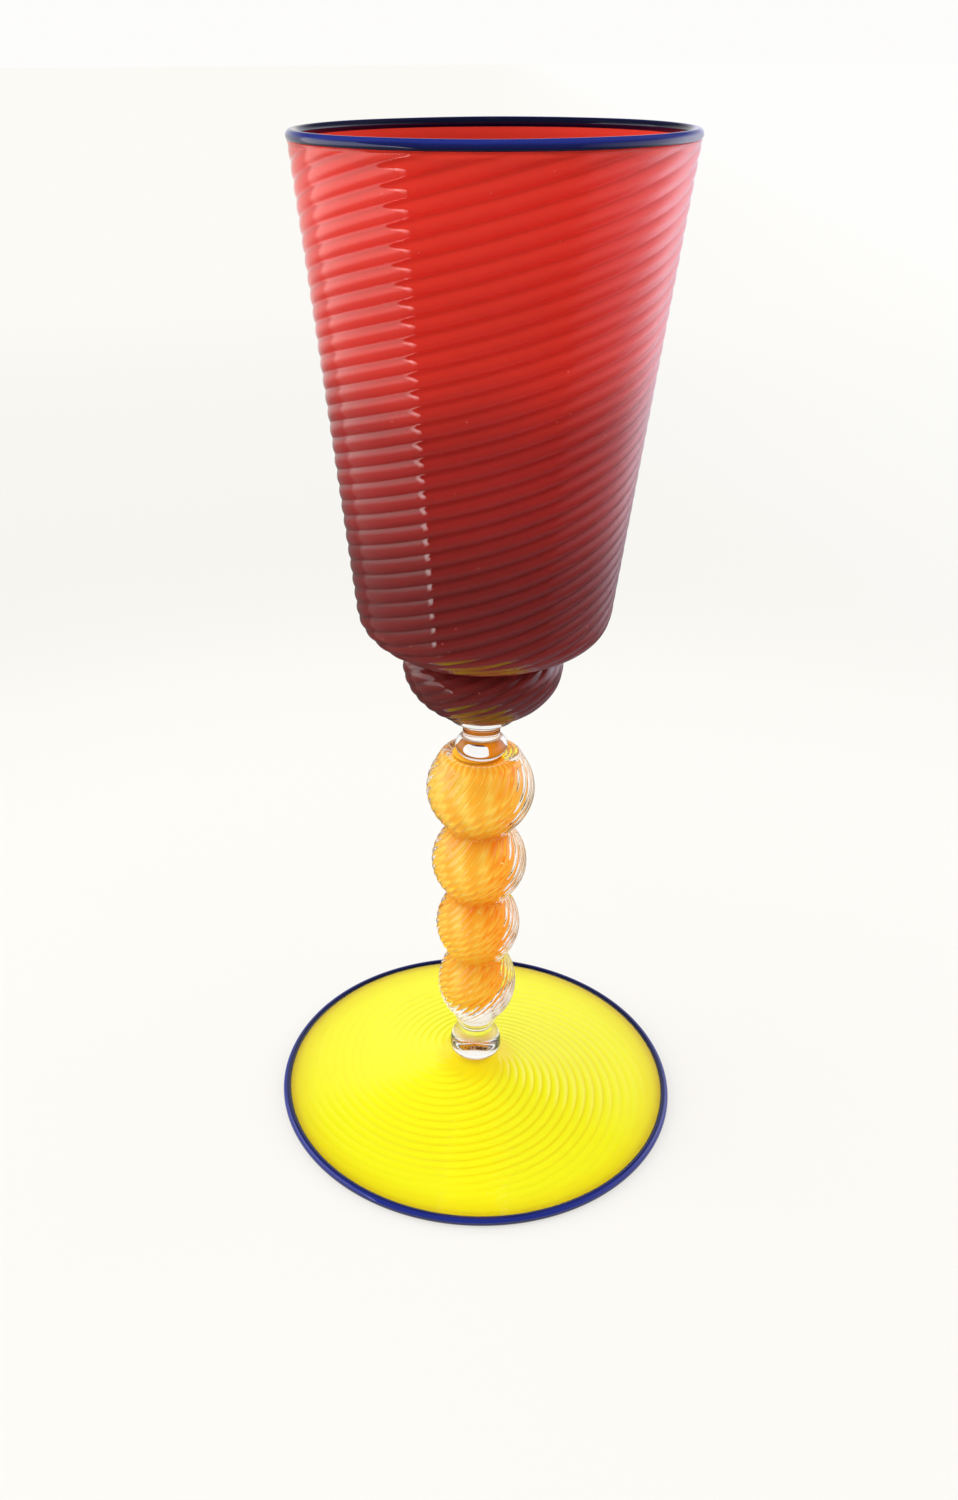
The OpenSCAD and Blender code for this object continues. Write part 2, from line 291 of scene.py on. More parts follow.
def skin(name, rows, ring=False, joints=(), **marks):
    """A closed mesh through rows of points. A row at one point becomes a pole; ring joins last row to first.

    joints are the bands, counted between rows, that lie inside the glass of two fused pieces. marks hold for
    each row a number at each of its points, such as how deep in a groove it lies, which the finishes use.
    """
    columns = len(rows[0])
    bm = bmesh.new()
    made = []
    values = {mark: [] for mark in marks}
    for i, row in enumerate(rows):
        points = row[:1] if np.ptp(row, axis=0).max() < ONE_POINT else row
        verts = [bm.verts.new(p) for p in points]
        made.append(verts if len(points) > 1 else verts * columns)
        for mark in marks:
            values[mark] += list(marks[mark][i][:len(points)])
    pairs = list(zip(made[:-1], made[1:]))
    if ring:
        pairs.append((made[-1], made[0]))
    for i, (low, high) in enumerate(pairs):
        for k in range(columns):
            corners = [low[k], low[(k + 1) % columns], high[(k + 1) % columns], high[k]]
            unique = list(dict.fromkeys(corners))
            if len(unique) > 2:
                bm.faces.new(unique).material_index = int(i in joints)
    bmesh.ops.recalc_face_normals(bm, faces=bm.faces)
    mesh = bpy.data.meshes.new(name)
    bm.to_mesh(mesh)
    bm.free()
    mesh.shade_smooth()
    for mark, numbers in values.items():
        mesh.attributes.new(mark, "FLOAT", "POINT").data.foreach_set("value", np.array(numbers, np.float32))
    piece = bpy.data.objects.new(name, mesh)
    bpy.context.scene.collection.objects.link(piece)
    return piece


def placed(piece, node, slot, *materials):
    """Gives a piece its finishes and lets it stand for its solid."""
    for material in materials:
        piece.data.materials.append(material)
    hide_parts(node)
    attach(piece, BODY)


# Materials

def shader(name):
    material = bpy.data.materials.new(name)
    material.use_nodes = True
    tree = material.node_tree
    return material, tree, tree.nodes["Principled BSDF"]


def node(tree, kind, **values):
    made = tree.nodes.new("ShaderNode" + kind)
    for key, value in values.items():
        if key in made.inputs:
            made.inputs[key].default_value = value
        else:
            setattr(made, key, value)
    return made


def math_of(tree, operation, *values):
    """Output of a Math node whose inputs are sockets or numbers."""
    made = node(tree, "Math", operation=operation)
    for socket, value in zip(made.inputs, values):
        if isinstance(value, bpy.types.NodeSocket):
            tree.links.new(value, socket)
        else:
            socket.default_value = value
    return made.outputs[0]


def spread(tree, value, low, high, to_low=0.0, to_high=1.0, kind="LINEAR"):
    """value mapped from the range low to high onto to_low to to_high."""
    made = node(tree, "MapRange", interpolation_type=kind)
    tree.links.new(value, made.inputs["Value"])
    for name, number in (("From Min", low), ("From Max", high), ("To Min", to_low), ("To Max", to_high)):
        made.inputs[name].default_value = number
    return made.outputs["Result"]


def ramp(tree, source, stops):
    made = node(tree, "ValToRGB")
    made.color_ramp.interpolation = "EASE"
    while len(made.color_ramp.elements) < len(stops):
        made.color_ramp.elements.new(0.5)
    for element, (at, colour) in zip(made.color_ramp.elements, stops):
        element.position = at
        element.color = (*colour, 1)
    tree.links.new(source, made.inputs["Fac"])
    return made.outputs["Color"]


def mixed(tree, share, a, b, blend="MIX"):
    """Colour a where share is 0, and where it is 1 colour b, or b laid over a by another blend."""
    made = node(tree, "Mix", data_type="RGBA", blend_type=blend)
    sockets = {socket.identifier: socket for socket in made.inputs}
    for name, value in (("Factor_Float", share), ("A_Color", a), ("B_Color", b)):
        if isinstance(value, bpy.types.NodeSocket):
            tree.links.new(value, sockets[name])
        else:
            sockets[name].default_value = (*value, 1) if isinstance(value, tuple) else value
    return {socket.identifier: socket for socket in made.outputs}["Result_Color"]


def noise(tree, coordinates, scale, detail=3):
    made = node(tree, "TexNoise", Scale=scale, Detail=detail)
    tree.links.new(coordinates, made.inputs["Vector"])
    return made.outputs["Fac"]


def specks(tree, coordinates, scale, size):
    """Small round bubbles caught in the glass: 1 inside one, else 0."""
    cells = node(tree, "TexVoronoi", Scale=scale, Randomness=1.0)
    tree.links.new(coordinates, cells.inputs["Vector"])
    return spread(tree, cells.outputs["Distance"], size, size * 0.5)


def mark_of(tree, mark):
    """A number that the mesh holds at its points, such as its place in a groove."""
    return node(tree, "Attribute", attribute_name=mark).outputs["Fac"]


def axis_of(tree, coordinates, axis):
    parts = node(tree, "SeparateXYZ")
    tree.links.new(coordinates, parts.inputs["Vector"])
    return parts.outputs[axis]


def radius_of(tree, coordinates):
    """Distance from the goblet's axis."""
    flat = node(tree, "VectorMath", operation="MULTIPLY")
    tree.links.new(coordinates, flat.inputs[0])
    flat.inputs[1].default_value = (1, 1, 0)
    length = node(tree, "VectorMath", operation="LENGTH")
    tree.links.new(flat.outputs[0], length.inputs[0])
    return length.outputs["Value"]


def waviness(tree, bsdf, coordinates, scale, height):
    """The slow unevenness of a surface that was shaped by hand."""
    bump = node(tree, "Bump", Strength=1.0, Distance=height)
    tree.links.new(noise(tree, coordinates, scale, detail=1), bump.inputs["Height"])
    tree.links.new(bump.outputs["Normal"], bsdf.inputs["Normal"])


def clear_glass(name, tint, wave_scale=90, wave_height=0.01 * MM):
    material, tree, bsdf = shader(name)
    bsdf.inputs["Base Color"].default_value = (*tint, 1)
    bsdf.inputs["Roughness"].default_value = 0.0
    bsdf.inputs["IOR"].default_value = 1.5
    bsdf.inputs["Transmission Weight"].default_value = 1.0
    waviness(tree, bsdf, node(tree, "TexCoord").outputs["Object"], wave_scale, wave_height)
    return material


def dull_below(material, top, height, roughness):
    """Makes the skin rougher from top down over height, so that it mirrors what is below it softly."""
    tree = material.node_tree
    level = axis_of(tree, node(tree, "TexCoord").outputs["Object"], "Z")
    depth = math_of(tree, "DIVIDE", math_of(tree, "SUBTRACT", top, level), height)
    share = math_of(tree, "MULTIPLY", depth, roughness)
    share.node.use_clamp = True
    tree.links.new(share, tree.nodes["Principled BSDF"].inputs["Roughness"])


def fused_joint():
    """Face between two clear pieces that are one glass: it bends and reflects no light."""
    material, tree, bsdf = shader("fused joint")
    bsdf.inputs["Alpha"].default_value = 0.0
    return material


def cobalt_glass():
    """Cobalt blue thread, too deep to see through, with a fire-polished skin.

    Its colour holds painted light and shade: lighter on its outer, upper side, and nearly black on the side
    that faces the edge which it is laid round.
    """
    material, tree, bsdf = shader("cobalt thread")
    at = node(tree, "TexCoord").outputs["Object"]
    cloud = math_of(tree, "MULTIPLY", noise(tree, at, 60, detail=2), 0.2)
    # The lit mark paints light and shade into the blue: light on the outer, upper side, dark on the inner
    # side
    share = math_of(tree, "MULTIPLY_ADD", mark_of(tree, "lit"), 0.9, cloud)
    blue = ramp(tree, share, [
        (0.5, (0.002, 0.003, 0.02)),
        (0.8, (0.006, 0.009, 0.08)),
        (0.98, (0.014, 0.024, 0.2)),
    ])
    tree.links.new(blue, bsdf.inputs["Base Color"])
    bsdf.inputs["Roughness"].default_value = 0.04
    bsdf.inputs["IOR"].default_value = 1.52
    waviness(tree, bsdf, at, 120, 0.03 * MM)
    return material


def opaque_glass(name, colour_of):
    """Opaque coloured glass under a clear layer. colour_of(tree, coordinates) gives its colour."""
    material, tree, bsdf = shader(name)
    at = node(tree, "TexCoord").outputs["Object"]
    tree.links.new(colour_of(tree, at), bsdf.inputs["Base Color"])
    bsdf.inputs["Roughness"].default_value = 0.5
    bsdf.inputs["Specular IOR Level"].default_value = 0.0
    return material


def red_colour(tree, at):
    """Red that deepens towards the bulb, with a pale band of painted light along each groove, a dark line of
    painted shade beside it, and painted shade over the inside.
    """
    share = spread(tree, axis_of(tree, at, "Z"), BOWL_LOW, BOWL_HIGH)
    cloud = noise(tree, at, 35, detail=2)
    base = ramp(tree, math_of(tree, "MULTIPLY_ADD", cloud, 0.08, share), [
        (0.0, (0.165, 0.024, 0.022)),
        (0.33, (0.28, 0.028, 0.026)),
        (0.6, (0.52, 0.034, 0.028)),
        (0.76, (0.82, 0.054, 0.034)),
        (1.0, (0.92, 0.066, 0.042)),
    ])
    # Painted light and shade along the ribs: a pale band in each groove, the crests a little darker
    painted_groove_shading = ramp(tree, mark_of(tree, "groove"), [
        (0.0, (0.95, 0.93, 0.93)),
        (0.35, (0.94, 0.92, 0.92)),
        (0.75, (1.0, 1.0, 1.0)),
    ])
    base = mixed(tree, 1.0, base, painted_groove_shading, "MULTIPLY")
    # Painted shade: a dark line beside each groove, and a darker inside of the bowl
    base = mixed(tree, mark_of(tree, "shade"), base, (0.76, 0.68, 0.68), "MULTIPLY")
    return mixed(tree, specks(tree, at, 260, 0.045), base, (0.9, 0.25, 0.22))


def orange_colour(tree, at):
    """Orange with yellow streaks along the grooves and deeper in the necks, painted yellower to the left as
    painted light from that side.
    """
    streaks = math_of(tree, "MULTIPLY", mark_of(tree, "groove"), 0.55)
    cloud = math_of(tree, "MULTIPLY_ADD", noise(tree, at, 140), 0.5, streaks)
    # Painted light: yellower towards the left, the side the light comes from
    painted_left_light = spread(tree, axis_of(tree, at, "X"), 5 * MM, -8 * MM, 0, 0.3)
    width = spread(tree, radius_of(tree, at), 4 * MM, 8 * MM, -0.3, 0)
    share = math_of(tree, "ADD", cloud, math_of(tree, "ADD", painted_left_light, width))
    base = ramp(tree, share, [(0.05, (1.0, 0.3, 0.012)), (0.4, (1.0, 0.48, 0.04)), (0.9, (1.0, 0.68, 0.11))])
    return mixed(tree, specks(tree, at, 380, 0.07), base, (1.0, 0.85, 0.35))


def yellow_colour(tree, at):
    """Yellow, a little deeper at the rim, deeper round the spool as a painted contact shadow, and darker
    along the grooves as painted shade.
    """
    share = spread(tree, radius_of(tree, at), 0.0, FOOT_R)
    # The deeper yellow round the axis is a painted contact shadow round the spool
    base = ramp(tree, share, [
        (0.0, (1.0, 0.88, 0.02)),
        (0.16, (1.0, 0.9, 0.02)),
        (0.24, (1.0, 1.0, 0.025)),
        (0.86, (1.0, 1.0, 0.025)),
        (0.95, (1.0, 0.94, 0.02)),
        (1.0, (0.94, 0.76, 0.02)),
    ])
    # Painted shade: darker along the grooves
    painted_groove_shading = ramp(tree, mark_of(tree, "groove"), [
        (0.0, (1.0, 1.0, 1.0)),
        (0.3, (1.0, 0.99, 0.97)),
        (0.9, (0.96, 0.89, 0.75)),
    ])
    base = mixed(tree, 1.0, base, painted_groove_shading, "MULTIPLY")
    return mixed(tree, specks(tree, at, 300, 0.04), base, (1.0, 0.98, 0.5))


# Bowl

def faces_out(radial, up):
    return radial > SLIGHT_SIDE or up < BOTTOM


def faces_in(radial, up):
    return radial < -SLIGHT_SIDE


def bowl_line(node_name, looks, step):
    return smooth_line(thinned(from_axis(cad_line(node_name, looks, 1)), OUTLINE_GAP), step)


bowl_out = bowl_line("bowl_casing", faces_out, ROW_STEP)
red_out = bowl_line("bowl_color", faces_out, RED_STEP)
red_in = bowl_line("bowl_color", faces_in, INSIDE_STEP)
BOWL_LOW, BOWL_HIGH = bowl_out[0, 1], bowl_out[-1, 1]
FOOT_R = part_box("foot_color")[1].x

# The disc of the upper spool is fused to the flat under the bulb
disc_r = crest_line("upper_avolio")[-1, 0]
disc_row = row_at(bowl_out, disc_r)

# Turn and height of the bowl's ribs, outside and beside the red. They begin outside the disc.
bowl_lengths = arc_lengths(bowl_out)
bowl_turns = np.radians(BOWL_PHASE + BOWL_TURN * bowl_lengths / MM)
bowl_fades = fade(bowl_lengths, *BOWL_FADES, bowl_lengths[disc_row])
bulb_shares = np.interp(bowl_out[:, 1] - BOWL_LOW, [BULB_RIBS_TO, CUP_RIBS_FROM], [BULB_RIB_SHARE, 1])
bowl_fades = bowl_fades * bulb_shares
red_turns, red_fades = beside(red_out, bowl_out, bowl_turns), beside(red_out, bowl_out, bowl_fades)

# The lip narrows to the seat of the thread over the last rows
LIP_BEVEL = 0.15 * MM


def lip_row(line, inward):
    """The line with one more point, inside the thread on the lip."""
    return np.vstack([line, [line[-1, 0] - inward, line[-1, 1] + FUSE]])


def ribbed_bowl():
    """Clear casing: ribs outside, and fused to the red inside."""
    angles, depths = rib_angles(BOWL_RIBS)
    outer = lip_row(bowl_out, LIP_BEVEL)
    turns, fades = np.append(bowl_turns, bowl_turns[-1]), np.append(bowl_fades, 0)
    rows = rows_of(outer, angles, turns, depths, fades * BOWL_RIB_DEPTH)
    inner = moved(red_out, -FUSE)[::-1]
    rows += rows_of(inner, angles, red_turns[::-1], depths, -red_fades[::-1] * RED_RELIEF)
    return skin("bowl_casing_glass", rows, joints=range(disc_row))


# How deep in a groove the inside of the bowl counts as lying, for its colour, as part of the painted shade
# that darkens the inside
INSIDE_SHADE_DEPTH = 0.45
# Place and width of the painted shade line beside each groove, as shares of a rib, and its strength
SHADE_AT, SHADE_WIDTH, SHADE_DEPTH = 0.19, 0.08, 0.7


def red_bowl():
    """Opaque red layer, open at the mouth."""
    angles, depths = rib_angles(BOWL_RIBS)
    rows = rows_of(red_out, angles, red_turns, depths, red_fades * RED_RELIEF)
    inner = lip_row(red_in, -LIP_BEVEL)[::-1]
    rows += rows_of(inner, angles, np.full(len(inner), red_turns[-1]))
    # Marks for painted light and shade: the pale band in each groove, the dark line beside it, and the darker
    # inside
    groove = [depths * share for share in red_fades] + [np.full(len(angles), INSIDE_SHADE_DEPTH)] * len(inner)
    line = np.tile(SHADE_DEPTH * np.exp(-((rib_shares() - SHADE_AT) / SHADE_WIDTH) ** 2), BOWL_RIBS)
    shade = [line * share for share in red_fades] + [np.ones(len(angles))] * len(inner)
    return skin("bowl_red_glass", rows, groove=groove, shade=shade)


# Side of a thread on which its colour is painted lightest, as painted light, from straight out up
THREAD_PAINTED_LIGHT_AT = math.radians(50)
# Greatest thickness of a thread as a share of its solid's, and how its thickness swings below that: half of
# the greatest loss, and its waves, as their number round the thread and their phase
THREAD_FULL, THREAD_SWING, THREAD_WAVES = 0.99, 0.03, ((3, 0.7), (7, 0))


def thread(name, node_name):
    """A thread of glass laid round an edge: its section is the solid's, and its thickness varies a little."""
    mesh = frame["nodes"][node_name].data
    points = {(round(math.hypot(v.co.x, v.co.y), 6), round(v.co.z, 6)) for v in mesh.vertices}
    points = np.array(sorted(points))
    middle = points.mean(axis=0)
    order = np.argsort(np.arctan2(points[:, 1] - middle[1], points[:, 0] - middle[0]))
    section = thinned(points[order], THREAD_GAP) - middle
    angles = round_angles(THREAD_COLUMNS)
    waves = [1 + np.sin(count * angles + phase) for count, phase in THREAD_WAVES]
    thin = THREAD_FULL - THREAD_SWING * sum(waves) / len(waves)
    rows, lit = [], []
    for r, z in section:
        ring_r = middle[0] + r * thin
        ring_z = middle[1] + z * thin
        rows.append(np.column_stack([ring_r * np.cos(angles), ring_r * np.sin(angles), ring_z]))
        # Painted light and shade at each point of the section: 1 on the lit side, 0 on the inner side
        # opposite it
        lit.append(np.full(len(angles), 0.5 + 0.5 * math.cos(math.atan2(z, r) - THREAD_PAINTED_LIGHT_AT)))
    return skin(name, rows, ring=True, lit=lit)


# Stem

stem_crest = smooth_line(thinned(crest_line("stem_casing"), STEM_GAP), STEM_STEP)
core_out = smooth_line(thinned(crest_line("stem_core"), STEM_GAP), CORE_STEP)
stem_low, stem_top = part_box("stem_casing")[0].z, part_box("stem_casing")[1].z
core_fades = fade(arc_lengths(core_out), *CORE_FADES) * ORANGE_RELIEF


def stem_turns(heights):
    """The ribs turn faster towards the foot."""
    s = (heights - stem_low) / (stem_top - stem_low)
    length = (stem_top - stem_low) / MM
    return np.radians(length * (STEM_TURN_LOW * s + (STEM_TURN_TOP - STEM_TURN_LOW) * s * s / 2))


def pole(height, columns, centre=(0, 0)):
    """A row that closes a skin in one point."""
    return np.tile([centre[0], centre[1], height], (columns, 1))


def ribbed_stem():
    """Thick clear casing: ribs outside, and fused to the orange inside."""
    angles, depths = rib_angles(STEM_RIBS)
    fades = fade(arc_lengths(stem_crest), *STEM_FADES) * STEM_RIB_DEPTH
    rows = [pole(stem_low, len(angles))]
    rows += rows_of(stem_crest, angles, stem_turns(stem_crest[:, 1]), depths, fades)
    hole = moved(core_out, -FUSE)[:0:-1]
    rows += rows_of(hole, angles, stem_turns(hole[:, 1]), depths, -core_fades[:0:-1], CORE_SHIFT.xy)
    rows.append(pole(core_out[0, 1] + FUSE, len(angles), CORE_SHIFT.xy))
    return skin("stem_casing_glass", rows, joints=(0,))


def orange_core():
    """Opaque orange layer with its blowing hole, open at the top."""
    angles, depths = rib_angles(STEM_RIBS)
    turns = stem_turns(core_out[:, 1])
    rows = [pole(core_out[0, 1], len(angles), CORE_SHIFT.xy)]
    rows += rows_of(core_out, angles, turns, depths, core_fades, CORE_SHIFT.xy)[1:]
    bore = core_out[core_out[:, 1] > core_out[0, 1] + CORE_FLOOR][::-1] * (CORE_HOLE, 1)
    rows += rows_of(bore, angles, np.full(len(bore), turns[-1]), centre=CORE_SHIFT.xy)
    rows.append(pole(bore[-1, 1] - CORE_STEP, len(angles), CORE_SHIFT.xy))
    grooves = [depths * share / ORANGE_RELIEF for share in core_fades]
    grooves += [np.zeros(len(angles))] * (len(bore) + 1)
    return skin("stem_orange_glass", rows, groove=grooves)


# Spools

def end_rows(end, radius, height):
    """Rows that close an end of a spool: the axis, the edge of the clear joint, and the end's own edge."""
    rows = [[0, height]]
    if 0 < radius < end[0] - FUSE / 2:
        rows.append([radius, height])
    return rows + [[end[0], height]]


def spool(name, line, top_joint, seat_r=0):
    """A clear spool that stands on a film of air, and reaches into its upper neighbour.

    top_joint is the radius within which its upper end is fused to clear glass, and seat_r the one within
    which its foot is fused to coloured glass.
    """
    low = end_rows(line[0], 0, line[0, 1] + AIR_FILM)
    if seat_r:
        sunk = line[0, 1] - FUSE
        low = [[0, sunk], [seat_r, sunk], [seat_r + FUSE, line[0, 1] + AIR_FILM], low[-1]]
    top = end_rows(line[-1], top_joint, line[-1, 1] + FUSE)[::-1]
    rows = rows_of(np.vstack([low, line[1:-1], top]), round_angles(SPOOL_COLUMNS))
    return skin(name, rows, joints=[len(rows) - 2])


def spool_line(node_name):
    return smooth_line(thinned(crest_line(node_name), OUTLINE_GAP), SPOOL_STEP)


def lower_spool():
    """The ball is drawn in underneath, down to the ring on which it stands."""
    line = spool_line("lower_avolio")
    up = np.clip((line[:, 1] - line[0, 1]) / UNDERSIDE_H, 0, 1)
    line[:, 0] = UNDERSIDE_R + (line[:, 0] - UNDERSIDE_R) * np.sqrt(1 - (1 - up) ** 2)
    return spool("lower_spool", line, stem_crest[0, 0])


def upper_spool():
    """The middle of its foot is fused to the orange core, and its disc to the bulb."""
    return spool("upper_spool", spool_line("upper_avolio"), disc_r, UPPER_SEAT_R)


# Foot

def foot_surface(node_name, upper):
    """One side of a layer of the foot, from the axis out and a little way into the thread round it."""
    looks = (lambda radial, up: up > TOP) if upper else (lambda radial, up: up < -TOP)
    line = from_axis(thinned(cad_line(node_name, looks, 0), OUTLINE_GAP))
    line = smooth_line(line, ROW_STEP)
    return np.vstack([line, [line[-1, 0] + 2 * FUSE, line[-1, 1]]])


def foot_turns(line):
    return np.radians(FOOT_TURN) * line[:, 0] / MM


def foot_fades(line):
    """The ribs of the foot fade out round the spool and at the edge."""
    reach = line[:, 0]
    rise = np.clip((reach - FOOT_RIBS_FROM) / FOOT_FADES[0], 0, 1)
    return rise * np.clip((FOOT_R - reach) / FOOT_FADES[1], 0, 1)


yellow_top = foot_surface("foot_color", True)
# Where the painted shade in the foot's grooves is strongest, and its least strength elsewhere
FOOT_SHADE_AT, FOOT_SHADE_LEAST = math.radians(-55), 0.25


def ribbed_foot():
    """Clear layer with a swirl of faint ribs on top."""
    angles, depths = rib_angles(FOOT_RIBS)
    under = yellow_top - (0, FUSE)
    rows = rows_of(under, angles, foot_turns(under), depths, -foot_fades(under) * YELLOW_RELIEF)
    top = foot_surface("foot_clear", True)[::-1]
    rows += rows_of(top, angles, foot_turns(top), depths, foot_fades(top) * FOOT_RIB_DEPTH)
    return skin("foot_clear_glass", rows)


def yellow_foot():
    """Opaque yellow layer under the clear one."""
    angles, depths = rib_angles(FOOT_RIBS)
    under = foot_surface("foot_color", False)
    top = yellow_top[::-1]
    turns = foot_turns(top)
    rows = rows_of(under, angles, np.full(len(under), turns[0]))
    rows += rows_of(top, angles, turns, depths, foot_fades(top) * YELLOW_RELIEF)
    grooves = [np.zeros(len(angles))] * len(under)
    # Painted shade along the grooves, strongest on one side of the foot and fainter elsewhere
    for turn, share in zip(turns, foot_fades(top)):
        near = 0.5 + 0.5 * np.cos(angles + turn - FOOT_SHADE_AT)
        grooves.append(depths * share * (FOOT_SHADE_LEAST + (1 - FOOT_SHADE_LEAST) * near))
    return skin("foot_yellow_glass", rows, groove=grooves)


# The object

bowl_glass = clear_glass("clear bowl glass", (0.99, 0.985, 0.975))
foot_glass = clear_glass("clear foot glass", (0.99, 0.985, 0.975))
stem_glass = clear_glass("clear stem glass", (0.99, 0.985, 0.97))
spool_glass = clear_glass("clear spool glass", (0.99, 0.99, 0.99), 70, 0.05 * MM)
cobalt = cobalt_glass()
joint = fused_joint()

dull_below(bowl_glass, BOWL_LOW + DULL_TOP, DULL_TOP, DULL_ROUGHNESS)
placed(ribbed_bowl(), "bowl_casing", "bowl_clear_glass", bowl_glass, joint)
placed(red_bowl(), "bowl_color", "red_glass", opaque_glass("red glass", red_colour))
placed(thread("mouth_thread", "bowl_lip_wrap"), "bowl_lip_wrap", "blue_glass", cobalt)
placed(upper_spool(), "upper_avolio", "spool_glass", spool_glass, joint)
placed(ribbed_stem(), "stem_casing", "stem_clear_glass", stem_glass, joint)
placed(orange_core(), "stem_core", "orange_glass", opaque_glass("orange glass", orange_colour))
placed(lower_spool(), "lower_avolio", "spool_glass", spool_glass, joint)
placed(ribbed_foot(), "foot_clear", "foot_clear_glass", foot_glass)
placed(yellow_foot(), "foot_color", "yellow_glass", opaque_glass("yellow glass", yellow_colour))
placed(thread("foot_thread", "foot_lip_wrap"), "foot_lip_wrap", "blue_glass", cobalt)


# Stage: a pale floor that runs out of sight, soft light from both sides, and a dark room behind the camera

PAPER = (0.985, 0.98, 0.965)

# Light from the front and back, how much stronger it is from the two sides and from above, and half of what
# the left has more than the right
WORLD_LIGHT, SIDE_LIGHT, TOP_LIGHT, LEFT_LIGHT = 0.52, 1.9, 0.4, 0.4


def background_rays(tree):
    """1 for rays that come straight from the camera, or from it through or off glass; 0 for light."""
    path = node(tree, "LightPath")
    glass = math_of(tree, "MAXIMUM", path.outputs["Is Glossy Ray"], path.outputs["Is Transmission Ray"])
    seen = math_of(tree, "MAXIMUM", path.outputs["Is Camera Ray"], glass)
    unlit = math_of(tree, "LESS_THAN", path.outputs["Diffuse Depth"], 0.5)
    return math_of(tree, "MULTIPLY", seen, unlit)


def world():
    """Soft light, stronger from both sides. Where the camera sees the room it is plain white."""
    made = bpy.data.worlds.new("white room")
    bpy.context.scene.world = made
    made.use_nodes = True
    tree = made.node_tree
    background = tree.nodes["Background"]
    towards = node(tree, "TexCoord").outputs["Generated"]
    across, up = axis_of(tree, towards, "X"), axis_of(tree, towards, "Z")
    slope = math_of(tree, "MULTIPLY_ADD", across, SIDE_LIGHT, -LEFT_LIGHT)
    above = math_of(tree, "MULTIPLY_ADD", up, TOP_LIGHT, WORLD_LIGHT)
    light = math_of(tree, "MULTIPLY_ADD", across, slope, above)
    strength = node(tree, "MapRange")
    tree.links.new(light, strength.inputs["To Min"])
    tree.links.new(background_rays(tree), strength.inputs["Value"])
    tree.links.new(strength.outputs["Result"], background.inputs["Strength"])
    background.inputs["Color"].default_value = (*PAPER, 1)


# The floor shows its shading near the goblet, and far from it is pale paper with painted shading: distances
# between which the shading ends, its share near the goblet, and the distance over which the paper's painted
# shading is laid out
SHADE_NEAR, SHADE_FAR, SHADE_SHARE = 0.1, 0.5, 0.4
SHADING_REACH = 1.5
FLOOR_RINGS = (0.5, 4, 20)


def painted_paper_shading(tree, at):
    """Painted shading of the paper: nearly white round the goblet, a little greyer behind it as painted
    shade, and paler again far away and, as painted light, to the right.
    """
    far = spread(tree, radius_of(tree, at), 0, SHADING_REACH)
    paper_shade = ramp(tree, far, [
        (0.0, (0.985, 0.975, 0.945)),
        (0.12, (0.985, 0.975, 0.945)),
        (0.27, (0.925, 0.915, 0.875)),
        (0.5, (0.935, 0.925, 0.89)),
        (0.9, (0.97, 0.955, 0.915)),
    ])
    # Painted light: paler towards the right
    right = spread(tree, axis_of(tree, at, "X"), 0.05, 0.6, 0, 0.8)
    return mixed(tree, right, paper_shade, (1.0, 1.0, 0.99))


def floor():
    material, tree, bsdf = shader("white paper")
    bsdf.inputs["Base Color"].default_value = (0.73, 0.72, 0.69, 1)
    bsdf.inputs["Roughness"].default_value = 0.9
    at = node(tree, "TexCoord").outputs["Object"]
    glow = node(tree, "Emission")
    tree.links.new(painted_paper_shading(tree, at), glow.inputs["Color"])
    plain = spread(tree, radius_of(tree, at), SHADE_NEAR, SHADE_FAR, 1 - SHADE_SHARE, 1, "SMOOTHSTEP")
    mix = node(tree, "MixShader")
    tree.links.new(math_of(tree, "MULTIPLY", background_rays(tree), plain), mix.inputs["Fac"])
    tree.links.new(bsdf.outputs[0], mix.inputs[1])
    tree.links.new(glow.outputs[0], mix.inputs[2])
    tree.links.new(mix.outputs[0], tree.nodes["Material Output"].inputs["Surface"])
    angles = round_angles(FLOOR_COLUMNS)
    rows = [np.column_stack([r * np.cos(angles), r * np.sin(angles), 0 * angles]) for r in (0, *FLOOR_RINGS)]
    made = skin("floor", rows)
    made.data.materials.append(material)


# Soft lights: place, width and height. All look at one point, and all are as bright.
SOFTBOXES = {
    "left_light": ((-0.75, 0.05, 0.35), 0.9, 0.7),
    "right_light": ((0.8, 0.25, 0.35), 0.7, 0.7),
}
SOFTBOX_AIM = (0, 0, 0.12)


def softbox(name, place, width, height):
    """A soft light of even brightness. The room that reflections show has its own bright walls."""
    data = bpy.data.lights.new(name, "AREA")
    data.shape = "RECTANGLE"
    data.size, data.size_y = width, height
    data.energy = math.pi * width * height
    lamp = bpy.data.objects.new(name, data)
    bpy.context.scene.collection.objects.link(lamp)
    lamp.location = place
    lamp.rotation_mode = "QUATERNION"
    lamp.rotation_quaternion = (Vector(SOFTBOX_AIM) - Vector(place)).to_track_quat("-Z", "Y")
    lamp.visible_camera = lamp.visible_glossy = lamp.visible_transmission = False


